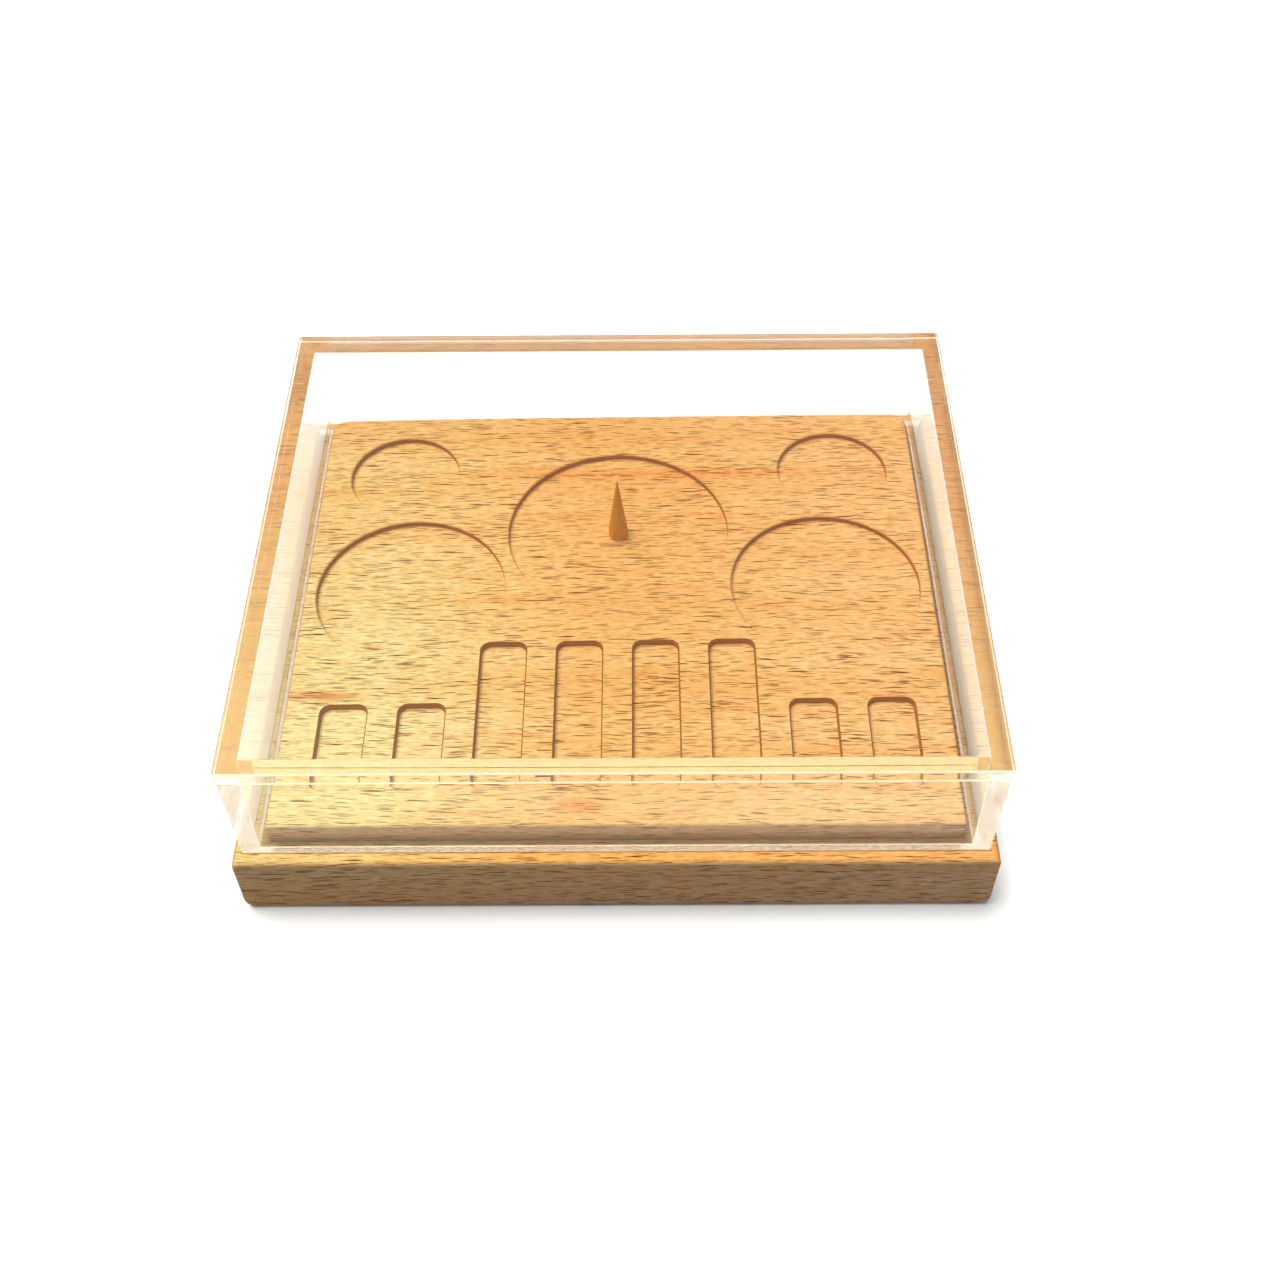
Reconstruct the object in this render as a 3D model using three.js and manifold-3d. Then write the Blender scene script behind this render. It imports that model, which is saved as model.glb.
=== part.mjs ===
// Watch parts storage box: a routed beech board with a turned cone post,
// closed by a lift-off cover of clear acrylic sheet.
// Units are millimetres. +X runs to the right along the grain, +Y to the back, +Z up.
// The origin is the centre of the underside, where the board rests on the table.

import * as THREE from 'three';
import { mergeVertices } from 'three/addons/utils/BufferGeometryUtils.js';
import Module from 'manifold-3d';

const wasm = await Module();
wasm.setup();

// Beech board. Names with side are for its left and right, names with front for front and back.
const boardWidth = 150;
const boardDepth = 126.7;
const boardThickness = 21.8;
const boardCornerRadius = 0.8;
const sideFootRadius = 2.8;
const frontFootRadius = 1.2;
const sideRimRadius = 1.7;
const frontRimRadius = 1;

// Rebate round the board, which leaves a raised deck in its middle
const sideRebateWidth = 6.9;
const frontRebateWidth = 7.25;
const rebateDepth = 5.4;
const deckFrontCornerRadius = 0.8;
const deckBackCornerRadius = 3.2;
const deckEdgeRadius = 0.7;

// Recesses sunk into the deck. Margins run from a recess to the edge of the deck.
const recessDepth = 1.5;
const recessArris = 0.25;
const centreRecessDiameter = 49;
const centreRecessBackMargin = 13.6;
const smallRecessDiameter = 25;
const smallRecessSideMargin = 6.3;
const smallRecessBackMargin = 6.9;
const sideRecessDiameter = 41;
const sideRecessMargin = 2.5;
const webBetweenRecesses = 2.5;

// Tray slots along the front of the deck, long in the middle and short at the sides
const slotPitch = 16;
const slotWidth = 9.5;
const slotCornerRadius = 2;
const slotFrontMargin = 9.9;
const longSlotLength = 32;
const shortSlotLength = 16;
const longSlotsPerSide = 2;
const shortSlotsPerSide = 2;

// Cone post, turned from beech and glued by its tenon into a blind hole
const postDiameter = 4.2;
const postHeight = 17.6;
const postHeadroom = 2.5;
const postFootHeight = 2.6;
const postFootEase = 1.2;
const postTipRadius = 0.12;
const tenonDiameter = 2.6;
const tenonLength = 6;
const tenonClearance = 0.15;
const tenonHoleExtraDepth = 0.6;

// Cover of five acrylic panels, cemented edge to face
const sheetThickness = 3.2;
const sideCoverGap = 1.6;
const frontCoverGap = 1.4;
const topPanelOverhang = 0.5;
const polishedArris = 0.2;
const cementFilm = 0.05;

// How finely round work is divided; an arc in an outline gets two facets for each division
const cornerDivisions = 4;
const edgeSteps = 4;
const recessDivisions = 48;
const easeSteps = 6;
const postFacets = 40;
const cutterOvershoot = 2;

const beech = new THREE.MeshStandardMaterial({ color: 0xe2ab72, roughness: 0.6, metalness: 0 });
const turnedBeech = new THREE.MeshStandardMaterial({ color: 0xb0763c, roughness: 0.55, metalness: 0 });
const clearAcrylic = new THREE.MeshStandardMaterial({
  color: 0xf4f8f8,
  roughness: 0.05,
  metalness: 0,
  transparent: true,
  opacity: 0.3,
});

const rebateZ = boardThickness - rebateDepth;
const deckWidth = boardWidth - 2 * sideRebateWidth;
const deckDepth = boardDepth - 2 * frontRebateWidth;
const recessFloorZ = boardThickness - recessDepth;
const centreRecessY = deckDepth / 2 - centreRecessBackMargin - centreRecessDiameter / 2;
const smallRecessX = deckWidth / 2 - smallRecessSideMargin - smallRecessDiameter / 2;
const smallRecessY = deckDepth / 2 - smallRecessBackMargin - smallRecessDiameter / 2;
const sideRecessX = deckWidth / 2 - sideRecessMargin - sideRecessDiameter / 2;
const sideRecessY = smallRecessY - (smallRecessDiameter + sideRecessDiameter) / 2 - webBetweenRecesses;
const coverWallHeight = recessFloorZ + postHeight + postHeadroom - rebateZ;

// Outline of a rectangle with round corners, centred on (x, y). The near pair of corners lies
// at its low y and the far pair at its high y.
function roundedRectangle(width, depth, nearRadius, farRadius, x = 0, y = 0) {
  const right = x + width / 2;
  const left = x - width / 2;
  const far = y + depth / 2;
  const near = y - depth / 2;
  const shape = new THREE.Shape();
  shape.absarc(right - farRadius, far - farRadius, farRadius, 0, Math.PI / 2, false);
  shape.absarc(left + farRadius, far - farRadius, farRadius, Math.PI / 2, Math.PI, false);
  shape.absarc(left + nearRadius, near + nearRadius, nearRadius, Math.PI, 1.5 * Math.PI, false);
  shape.absarc(right - nearRadius, near + nearRadius, nearRadius, 1.5 * Math.PI, 2 * Math.PI, false);
  shape.closePath();
  return shape;
}

function circle(diameter, x, y) {
  const shape = new THREE.Shape();
  shape.absarc(x, y, diameter / 2, 0, 2 * Math.PI, false);
  return shape;
}

// Prism over an outline from bottomZ to topZ whose end edges are rounded over by edgeRadius
function roundedPrism(outline, bottomZ, topZ, edgeRadius) {
  const prism = new THREE.ExtrudeGeometry(outline, {
    depth: topZ - bottomZ - 2 * edgeRadius,
    bevelEnabled: true,
    bevelThickness: edgeRadius,
    bevelSize: edgeRadius,
    bevelOffset: -edgeRadius,
    bevelSegments: edgeSteps,
    curveSegments: cornerDivisions,
  });
  return prism.translate(0, 0, bottomZ + edgeRadius);
}

// A closed geometry as a solid that can be cut and joined
function solidOf(geometry) {
  const bare = geometry.clone();
  bare.deleteAttribute('normal');
  bare.deleteAttribute('uv');
  const merged = mergeVertices(bare, 1e-4);
  return new wasm.Manifold(new wasm.Mesh({
    numProp: 3,
    vertProperties: new Float32Array(merged.attributes.position.array),
    triVerts: new Uint32Array(merged.index.array),
  }));
}

function geometryOf(solid) {
  const mesh = solid.getMesh();
  const geometry = new THREE.BufferGeometry();
  geometry.setAttribute('position', new THREE.BufferAttribute(mesh.vertProperties, 3));
  geometry.setIndex(new THREE.BufferAttribute(mesh.triVerts, 1));
  geometry.computeVertexNormals();
  return geometry;
}

// Straight router cut below an outline, with the arris of its mouth taken off
function recessCutter(outline, curveSegments) {
  const cut = new THREE.ExtrudeGeometry(outline, {
    depth: recessDepth + cutterOvershoot,
    bevelEnabled: false,
    curveSegments,
  });
  const mouth = new THREE.ExtrudeGeometry(outline, {
    depth: cutterOvershoot,
    bevelEnabled: true,
    bevelThickness: recessArris,
    bevelSize: recessArris,
    bevelSegments: 1,
    curveSegments,
  });
  cut.translate(0, 0, recessFloorZ);
  mouth.translate(0, 0, boardThickness);
  return solidOf(cut).add(solidOf(mouth));
}

// Straight prism over an outline, centred on z = 0
function centredPrism(outline, length) {
  const prism = new THREE.ExtrudeGeometry(outline, {
    depth: length,
    bevelEnabled: false,
    curveSegments: cornerDivisions,
  });
  return prism.translate(0, 0, -length / 2);
}

// The block that carries the rebate. Its left and right sides, its front and back and its upright
// corners are rounded differently, so it is what three prisms along the three axes have in common.
function footBlock() {
  const frontView = roundedRectangle(boardWidth, rebateZ, sideFootRadius, sideRimRadius);
  const sideView = roundedRectangle(boardDepth, rebateZ, frontFootRadius, frontRimRadius);
  const plan = roundedRectangle(boardWidth, boardDepth, boardCornerRadius, boardCornerRadius);
  const alongY = centredPrism(frontView, boardDepth + cutterOvershoot).rotateX(Math.PI / 2);
  const alongX = centredPrism(sideView, boardWidth + cutterOvershoot);
  alongX.rotateX(Math.PI / 2).rotateZ(Math.PI / 2);
  const alongZ = centredPrism(plan, rebateZ + cutterOvershoot);
  const block = solidOf(alongY).intersect(solidOf(alongX)).intersect(solidOf(alongZ));
  return block.translate([0, 0, rebateZ / 2]);
}

// The board in two steps: the block up to the rebate, and the deck that stands on it
function boardBlank() {
  const deckOutline = roundedRectangle(
    deckWidth,
    deckDepth,
    deckFrontCornerRadius,
    deckBackCornerRadius,
  );
  const deck = roundedPrism(deckOutline, rebateZ / 2, boardThickness, deckEdgeRadius);
  return footBlock().add(solidOf(deck));
}

function roundRecesses() {
  const outlines = [circle(centreRecessDiameter, 0, centreRecessY)];
  for (const side of [-1, 1]) {
    outlines.push(circle(sideRecessDiameter, side * sideRecessX, sideRecessY));
    outlines.push(circle(smallRecessDiameter, side * smallRecessX, smallRecessY));
  }
  return outlines.map((outline) => recessCutter(outline, recessDivisions));
}

// The slots share one front line; each row of four reads short, short, long, long to the middle
function traySlots() {
  const frontY = -deckDepth / 2 + slotFrontMargin;
  const cutters = [];
  for (const side of [-1, 1]) {
    for (let i = 0; i < longSlotsPerSide + shortSlotsPerSide; i += 1) {
      const length = i < longSlotsPerSide ? longSlotLength : shortSlotLength;
      const x = side * (i + 0.5) * slotPitch;
      const y = frontY + length / 2;
      const outline = roundedRectangle(slotWidth, length, slotCornerRadius, slotCornerRadius, x, y);
      cutters.push(recessCutter(outline, cornerDivisions));
    }
  }
  return cutters;
}

function tenonHole() {
  const depth = tenonLength + tenonHoleExtraDepth;
  const hole = new THREE.CylinderGeometry(
    tenonDiameter / 2 + tenonClearance,
    tenonDiameter / 2 + tenonClearance,
    depth + cutterOvershoot,
    postFacets,
  );
  hole.rotateX(Math.PI / 2);
  hole.translate(0, centreRecessY, recessFloorZ - depth + (depth + cutterOvershoot) / 2);
  return solidOf(hole);
}

function makeBoard() {
  let board = boardBlank();
  for (const cutter of [...roundRecesses(), ...traySlots(), tenonHole()]) {
    board = board.subtract(cutter);
  }
  const mesh = new THREE.Mesh(geometryOf(board), beech);
  mesh.name = 'base_board';
  return mesh;
}

// Turned profile: tenon, flat shoulder on the recess floor, a short parallel foot that eases
// over into a straight taper, and a blunt point
function makePost() {
  const footRadius = postDiameter / 2;
  const footTop = new THREE.Vector2(footRadius, postFootHeight);
  const tip = new THREE.Vector2(postTipRadius, postHeight - postTipRadius);
  const ease = new THREE.QuadraticBezierCurve(
    new THREE.Vector2(footRadius, postFootHeight - postFootEase),
    footTop,
    footTop.clone().lerp(tip, postFootEase / (tip.y - footTop.y)),
  );
  const profile = [
    new THREE.Vector2(0, -tenonLength),
    new THREE.Vector2(tenonDiameter / 2, -tenonLength),
    new THREE.Vector2(tenonDiameter / 2, 0),
    new THREE.Vector2(footRadius, 0),
    ...ease.getPoints(easeSteps),
    tip,
    new THREE.Vector2(0, postHeight),
  ];
  const geometry = new THREE.LatheGeometry(profile, postFacets);
  geometry.rotateX(Math.PI / 2);
  const mesh = new THREE.Mesh(geometry, turnedBeech);
  mesh.name = 'cone_post';
  mesh.position.set(0, centreRecessY, recessFloorZ);
  return mesh;
}

// A flat panel of sheet, sawn square
function sheetPanel(name, width, depth, height) {
  const mesh = new THREE.Mesh(new THREE.BoxGeometry(width, depth, height), clearAcrylic);
  mesh.name = name;
  return mesh;
}

// The front and back walls run the full width and the side walls fit between them;
// the top panel oversails all four. The cover stands on the rebate floor.
function makeCover() {
  const wallsWidth = deckWidth + 2 * (sideCoverGap + sheetThickness);
  const wallsDepth = deckDepth + 2 * (frontCoverGap + sheetThickness);
  const sideWallDepth = wallsDepth - 2 * (sheetThickness + cementFilm);
  const cover = new THREE.Group();

  for (const [name, side] of [['cover_front_wall', -1], ['cover_back_wall', 1]]) {
    const wall = sheetPanel(name, wallsWidth, sheetThickness, coverWallHeight);
    wall.position.set(0, side * (wallsDepth - sheetThickness) / 2, coverWallHeight / 2);
    cover.add(wall);
  }
  for (const [name, side] of [['cover_left_wall', -1], ['cover_right_wall', 1]]) {
    const wall = sheetPanel(name, sheetThickness, sideWallDepth, coverWallHeight);
    wall.position.set(side * (wallsWidth - sheetThickness) / 2, 0, coverWallHeight / 2);
    cover.add(wall);
  }

  const topOutline = new THREE.Shape();
  const halfWidth = wallsWidth / 2 + topPanelOverhang;
  const halfDepth = wallsDepth / 2 + topPanelOverhang;
  topOutline.moveTo(-halfWidth, -halfDepth);
  topOutline.lineTo(halfWidth, -halfDepth);
  topOutline.lineTo(halfWidth, halfDepth);
  topOutline.lineTo(-halfWidth, halfDepth);
  topOutline.closePath();
  const topGeometry = new THREE.ExtrudeGeometry(topOutline, {
    depth: sheetThickness - 2 * polishedArris,
    bevelEnabled: true,
    bevelThickness: polishedArris,
    bevelSize: polishedArris,
    bevelOffset: -polishedArris,
    bevelSegments: 1,
  });
  const top = new THREE.Mesh(topGeometry, clearAcrylic);
  top.name = 'cover_top_panel';
  top.position.set(0, 0, coverWallHeight + cementFilm + polishedArris);
  cover.add(top);

  cover.position.set(0, 0, rebateZ);
  return cover;
}

const box = new THREE.Group();
box.add(makeBoard(), makePost(), makeCover());

export default box;
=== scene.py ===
# %% [markdown]
# # A watch parts storage box in beech and clear acrylic
#
# A watchmaker lays the parts of an open watch in the recesses of this board and puts the clear
# cover over them, so that no dust settles on them. The box is a routed beech board, a turned
# cone post and a cover of five cemented acrylic panels. The construction comes from a packed
# model, which is loaded first and never changed. This lesson then builds finer meshes over it,
# because the looks need smooth round edges, and acrylic only bends light properly when its mesh
# is one closed skin. Lengths are written in millimetres, and one factor, MM, turns them to metres.

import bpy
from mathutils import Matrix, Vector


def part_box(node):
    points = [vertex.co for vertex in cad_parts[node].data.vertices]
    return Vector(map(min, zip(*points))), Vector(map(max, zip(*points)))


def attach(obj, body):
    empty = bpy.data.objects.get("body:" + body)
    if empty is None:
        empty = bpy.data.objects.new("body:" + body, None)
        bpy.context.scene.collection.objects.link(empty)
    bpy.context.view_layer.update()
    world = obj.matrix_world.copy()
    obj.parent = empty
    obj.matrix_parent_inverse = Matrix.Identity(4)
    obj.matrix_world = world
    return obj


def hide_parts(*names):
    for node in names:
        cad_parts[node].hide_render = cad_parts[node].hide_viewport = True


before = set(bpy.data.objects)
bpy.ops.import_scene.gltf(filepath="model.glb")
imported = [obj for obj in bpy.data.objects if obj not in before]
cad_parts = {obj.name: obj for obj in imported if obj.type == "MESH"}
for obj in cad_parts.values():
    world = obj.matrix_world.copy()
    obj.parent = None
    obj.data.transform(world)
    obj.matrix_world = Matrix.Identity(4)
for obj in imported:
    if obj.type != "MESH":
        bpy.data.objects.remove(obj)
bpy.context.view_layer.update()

# %% [markdown]
# ## The camera
#
# The picture looks down at the box from the front, about half way between level and straight down.
# A camera was fitted to the straight edges and the circles of the photograph, and its place,
# turn and focal length are repeated here. The real cover lies turned by less than half a degree
# on its board, and this camera stands half way between the two. A focal length in pixels becomes
# one in millimetres through the width of the sensor: lens = focal pixels x sensor width /
# picture width.

# %% Place the camera
import bpy
from math import cos, pi, radians, sin, sqrt
from mathutils import Matrix, Vector

MM = 0.001
picture_side = 1280
focal_pixels = 1619.94
camera_place = Vector((6.50, -229.57, 286.36)) * MM
camera_turn, camera_tilt, camera_roll = 0.00779, 0.68875, -0.01113

camera_data = bpy.data.cameras.new("camera")
camera_data.sensor_width = 36
camera_data.lens = focal_pixels * camera_data.sensor_width / picture_side
camera_data.clip_start = 0.01
camera = bpy.data.objects.new("camera", camera_data)
bpy.context.collection.objects.link(camera)
camera.matrix_world = (
    Matrix.Translation(camera_place)
    @ Matrix.Rotation(camera_turn, 4, "Z")
    @ Matrix.Rotation(camera_tilt, 4, "X")
    @ Matrix.Rotation(camera_roll, 4, "Z")
)
bpy.context.scene.camera = camera
print("lens in mm:", round(camera_data.lens, 2))

# %% [markdown]
# ## Shapes from rings
#
# Every piece here has the same kind of skin: a run of closed rings, each a little higher, lower,
# wider or narrower than the last, joined by four-sided faces. A plane, a router and a lathe all
# leave such shapes. A ring is a list of points, a round-over is a few rings on a quarter circle,
# and a flat with holes in it is filled between its rings at the end. Next to each round-over
# lies one more ring, 0.05 mm away on the flat, which keeps the flat's shading flat.

# %% Rings
def round_rectangle(half_x, half_y, radius, z, x=0.0, y=0.0, steps=10, front=None):
    """A rectangle with round corners; front is the radius of the front pair, if it differs."""
    points = []
    back = radius
    for quarter in range(4):
        side_x = 1 if quarter in (0, 3) else -1
        side_y = 1 if quarter < 2 else -1
        radius = back if side_y > 0 or front is None else front
        for i in range(steps + 1):
            angle = pi / 2 * (quarter + i / steps)
            points.append((
                x + side_x * (half_x - radius) + radius * cos(angle),
                y + side_y * (half_y - radius) + radius * sin(angle),
                z,
            ))
    return points


def circle(radius, z, x=0.0, y=0.0, steps=128):
    turns = [2 * pi * i / steps for i in range(steps)]
    return [(x + radius * cos(a), y + radius * sin(a), z) for a in turns]


def round_over(radius, top, steps=8):
    """Pairs (inset, z) from a wall up over its top edge onto the flat."""
    angles = [pi / 2 * i / steps for i in range(steps + 1)]
    return [(radius * (1 - cos(a)), top - radius * (1 - sin(a))) for a in angles]


print("points in a ring:", len(circle(1, 0)), len(round_rectangle(2, 2, 1, 0)))

# %% The skin between them
import bmesh


def skin(mesh, rings):
    """Joins each ring of points to the next and returns the first and last ring's edges."""
    rows = [[mesh.verts.new(Vector(p) * MM) for p in ring] for ring in rings]
    for low, high in zip(rows, rows[1:]):
        for i in range(len(low)):
            j = (i + 1) % len(low)
            mesh.faces.new((low[i], low[j], high[j], high[i]))
    return [
        [mesh.edges.get((row[i - 1], row[i])) for i in range(len(row))]
        for row in (rows[0], rows[-1])
    ]


def piece_from(mesh, name, body, nodes, sharp=30.0):
    """Turns the finished skin into a piece that rides on its body and stands for its nodes."""
    bmesh.ops.recalc_face_normals(mesh, faces=mesh.faces)
    for face in mesh.faces:
        face.smooth = True
    for edge in mesh.edges:
        edge.smooth = edge.is_manifold and edge.calc_face_angle() < radians(sharp)
    open_edges = sum(not edge.is_manifold for edge in mesh.edges)
    data = bpy.data.meshes.new(name)
    mesh.to_mesh(data)
    mesh.free()
    piece = bpy.data.objects.new(name, data)
    bpy.context.collection.objects.link(piece)
    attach(piece, body)
    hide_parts(*nodes)
    print(name, "faces:", len(data.polygons), "open edges:", open_edges)
    return piece


# %% [markdown]
# ## The beech board
#
# The board is one block of beech. Its left and right sides are rounded well over at the foot, its
# front and back only a little, and a rebate routed round it leaves a raised deck for the cover to
# stand round. One function gives how far a side stands in at a height, and each ring takes it once
# for the sides and once for the front and back. The deck's back corners are rounder than its
# front ones. The sizes repeat those of the construction.

# %% Sizes of the board
board_x, board_y, deck_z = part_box("base_board")[1] / MM
rebate_z, side_rebate, front_rebate = 16.4, 6.9, 7.25
deck_x, deck_y = board_x - side_rebate, board_y - front_rebate
recess_depth = 1.5
floor_z = deck_z - recess_depth
board_corner, deck_front_corner, deck_back_corner = 0.8, 0.8, 3.2
side_foot, side_rim = 2.8, 1.7
front_foot, front_rim = 1.2, 1.0
deck_radius, hold = 0.7, 0.05
print("half width, half depth, deck height:", round(board_x, 2), round(board_y, 2), round(deck_z, 2))


def stands_in(z, foot, rim):
    """How far a side of the block stands in at height z, by the radii of its foot and its rim."""
    low, high = max(foot - z, 0.0), max(z - rebate_z + rim, 0.0)
    return foot - sqrt(max(foot ** 2 - low ** 2, 0.0)) + rim - sqrt(max(rim ** 2 - high ** 2, 0.0))


# %% Block, rebate and deck
board = bmesh.new()
turns = [pi / 2 * i / 10 for i in range(11)]
heights = [radius * (1 - cos(a)) for radius in (side_foot, front_foot) for a in turns]
heights += [rebate_z - radius * (1 - cos(a)) for radius in (side_rim, front_rim) for a in turns]
heights += [foot + hold for foot in (side_foot, front_foot)]
heights += [rebate_z - rim - hold for rim in (side_rim, front_rim)]
heights = sorted(set(round(z, 3) for z in heights))
block = [(side_foot + hold, front_foot + hold, 0.0)]
block += [(stands_in(z, side_foot, side_rim), stands_in(z, front_foot, front_rim), z) for z in heights]
block.append((side_rim + hold, front_rim + hold, rebate_z))
rings = [round_rectangle(board_x - in_x, board_y - in_y, board_corner, z) for in_x, in_y, z in block]
lip = round_over(deck_radius, deck_z)
deck = [(0.0, rebate_z), (0.0, lip[0][1] - hold)] + lip + [(deck_radius + hold, deck_z)]
rings += [round_rectangle(deck_x - i, deck_y - i, deck_back_corner - i, z, front=deck_front_corner - i)
          for i, z in deck]
underside, deck_rim = skin(board, rings)
bmesh.ops.triangle_fill(board, edges=underside, use_beauty=True)
print("rings:", len(rings), "lowest:", min(ring[0][2] for ring in rings))

# %% [markdown]
# ## Recesses and tray slots
#
# A straight cutter sinks every recess 1.5 mm. It leaves square walls with a small heel at their
# foot, and the mouth is broken by a quarter of a millimetre so that no arris splinters. Five
# recesses are round, for cases, bezels and movements. Eight are slots with round corners, for
# screws and hands. The two groups differ only in their outline, so one function sinks both. The
# middle recess also gets the blind hole that holds the post.

# %% The cut
mouth_edges = []
post_x, post_y = 0.0, 18.0
hole_radius, hole_depth = 1.45, 6.6
arris, heel = 0.25, 0.12


def sink(outline, drill=None):
    """outline(grow, z) gives the recess's ring, grown by so much, at that height."""
    heel_rings = [(-heel * (1 - cos(a)), floor_z + heel * (1 - sin(a)))
                  for a in (0, pi / 6, pi / 3, pi / 2)]
    steps = [(arris, deck_z), (0.0, deck_z - arris)] + heel_rings + [(-heel - hold, floor_z)]
    mouth, floor = skin(board, [outline(grow, z) for grow, z in steps])
    mouth_edges.extend(mouth)
    if drill:
        ends = (floor_z, floor_z - hole_depth)
        top, bottom = skin(board, [circle(drill, z, post_x, post_y, 48) for z in ends])
        bmesh.ops.triangle_fill(board, edges=bottom, use_beauty=True)
        floor = floor + top
    bmesh.ops.triangle_fill(board, edges=floor, use_beauty=True)


print("a recess is", recess_depth, "mm deep, and the hole", hole_depth, "mm more")

# %% Sink the recesses
rounds = [(24.5, post_x, post_y)]
for side in (-1, 1):
    rounds += [(20.5, side * 45.1, 1.2), (12.5, side * 49.3, 36.7)]
for radius, x, y in rounds:
    sink(lambda grow, z: circle(radius + grow, z, x, y), hole_radius if x == post_x else None)

slot_front, slot_pitch, slot_half, slot_corner = -46.2, 16.0, 4.75, 2.0
short_slot, long_slot = 16.0, 32.0
for number in range(8):
    x = (number - 3.5) * slot_pitch
    half = (long_slot if 2 <= number <= 5 else short_slot) / 2
    sink(lambda grow, z: round_rectangle(
        slot_half + grow, half + grow, slot_corner + grow, z, x, slot_front + half, 6))
bmesh.ops.triangle_fill(board, edges=deck_rim + mouth_edges, use_beauty=True)
beech_board = piece_from(board, "routed_beech_board", "base", ["base_board"])

# %% [markdown]
# ## The cone post
#
# A ring or a case laid in the middle recess is centred by a slim cone. On a lathe such a post
# is one profile turned about its axis: a tenon that is glued into the board, a flat shoulder, a
# short parallel foot and a straight taper to a blunt point. The profile is written as pairs of
# radius and height above the recess floor, and rings of 64 points carry it round. Where the foot
# meets the taper, a short curve eases the one into the other.

# %% Turn the post
tenon_r, tenon_h = 1.3, 6.0
foot_r, foot_h, ease, tip_r, post_h = 2.1, 2.6, 1.2, 0.12, 17.6
taper = (foot_r - tip_r) / (post_h - tip_r - foot_h)
profile = [(tenon_r, -tenon_h), (tenon_r, -0.02), (tenon_r, 0.0), (foot_r - 0.1, 0.0), (foot_r, 0.1)]
end_r, end_h = foot_r - taper * ease, foot_h + ease
for i in range(9):
    t = i / 8
    radius = (1 - t) ** 2 * foot_r + 2 * t * (1 - t) * foot_r + t * t * end_r
    height = (1 - t) ** 2 * (foot_h - ease) + 2 * t * (1 - t) * foot_h + t * t * end_h
    profile.append((radius, height))
for i in range(1, 13):
    t = i / 12
    profile.append((end_r + (tip_r - end_r) * t, end_h + (post_h - tip_r - end_h) * t))
profile += [(tip_r * 0.72, post_h - tip_r * 0.3), (tip_r * 0.3, post_h)]

post = bmesh.new()
ends = skin(post, [circle(r, floor_z + h, post_x, post_y, 64) for r, h in profile])
for edges in ends:
    bmesh.ops.triangle_fill(post, edges=edges, use_beauty=True)
turned_post = piece_from(post, "turned_cone_post", "base", ["cone_post"], 40.0)

# %% [markdown]
# ## The acrylic cover
#
# The cover is made of five pieces of 3.2 mm sheet. Solvent cement melts their edges together, so
# light crosses the joints as if the sheet went on, and it is built as one closed skin here: down
# the outside, across the sawn foot of the walls and up the inside. Separate panels would leave
# films of air that mirror everything. The walls end a hair above the rebate, because sheet that
# only rests on wood has air under it and mirrors there.
#
# Such a cover is hardly seen itself. What shows are bands of wood that light has been piped down
# the walls to, and the lines where an edge breaks them. So the small sizes matter most:
#
# The arrises of the panel are broken by 0.1 to 0.3 mm with a scraper. Under the front edge the
# scraper has gone 0.75 mm up the edge and only 0.12 mm under it, and this steep strip is the
# lower of the two bright lines at the front.
#
# The cement has swollen the walls a little where they meet the panel. Light runs down inside a
# wall by total reflection, and a face that leans by some angle turns it by twice as much. A
# sudden swelling would throw the light out, so it is drawn as a slow taper over the whole height
# of the wall: 0.3 mm on the outside at the sides and the back, 1 mm on the inside at the front.
# A small hollow bead of cement runs round the inside under the panel.

# %% Sizes of the cover
top_low, top_high = (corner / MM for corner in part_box("cover_top_panel"))
inner_x, wall_x = (corner.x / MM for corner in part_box("cover_right_wall"))
inner_y, wall_y = (corner.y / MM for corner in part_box("cover_back_wall"))
air_film = 0.03
wall_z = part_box("cover_front_wall")[0].z / MM + air_film
bevel, under_bevel, edge, corner_bead = 0.3, 0.75, 0.12, 0.15
top_bead, front_bead = 0.35, 0.15
front_foot_bevel, foot_bevel = 0.15, 0.03
cement, front_cement = 0.3, 1.0
print("sheet in mm:", round(wall_x - inner_x, 2), "walls:", round(top_low.z - wall_z, 2), "high")

# %% Skin of the cover
def cut_rectangle(half_x, front, back, cut, z):
    """A rectangle whose four corners are cut off, as eight points."""
    points = []
    for number, (side_x, y) in enumerate(((1, back), (-1, back), (-1, -front), (1, -front))):
        x = side_x * half_x
        pair = [(x, y - cut if y > 0 else y + cut, z), (x - side_x * cut, y, z)]
        points += pair if number % 2 == 0 else pair[::-1]
    return points


outside = [
    (top_high.x - edge, top_high.y - bevel, top_high.y - edge, top_high.z),
    (top_high.x, top_high.y, top_high.y, top_high.z - bevel),
    (top_high.x, top_high.y, top_high.y, top_low.z + under_bevel),
    (top_high.x, top_high.y - edge, top_high.y, top_low.z),
    (wall_x + cement, wall_y, wall_y + cement, top_low.z),
    (wall_x, wall_y, wall_y, wall_z + front_foot_bevel),
    (wall_x - foot_bevel, wall_y - front_foot_bevel, wall_y - foot_bevel, wall_z),
]
inside = [
    (inner_x + foot_bevel, inner_y + front_foot_bevel, inner_y + foot_bevel, wall_z),
    (inner_x, inner_y, inner_y, wall_z + front_foot_bevel),
]
for i in range(9):
    into, under = 1 - cos(pi / 2 * i / 8), 1 - sin(pi / 2 * i / 8)
    inside.append((inner_x - top_bead * into, inner_y - front_cement - front_bead * into,
                   inner_y - top_bead * into, top_low.z - top_bead * under))
cover = bmesh.new()
rings = [cut_rectangle(x, front, back, edge, z) for x, front, back, z in outside]
rings += [cut_rectangle(x, front, back, corner_bead, z) for x, front, back, z in inside]
ends = skin(cover, rings)
print("rings of the cover:", len(rings), "faces between them:", len(cover.faces))

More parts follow.
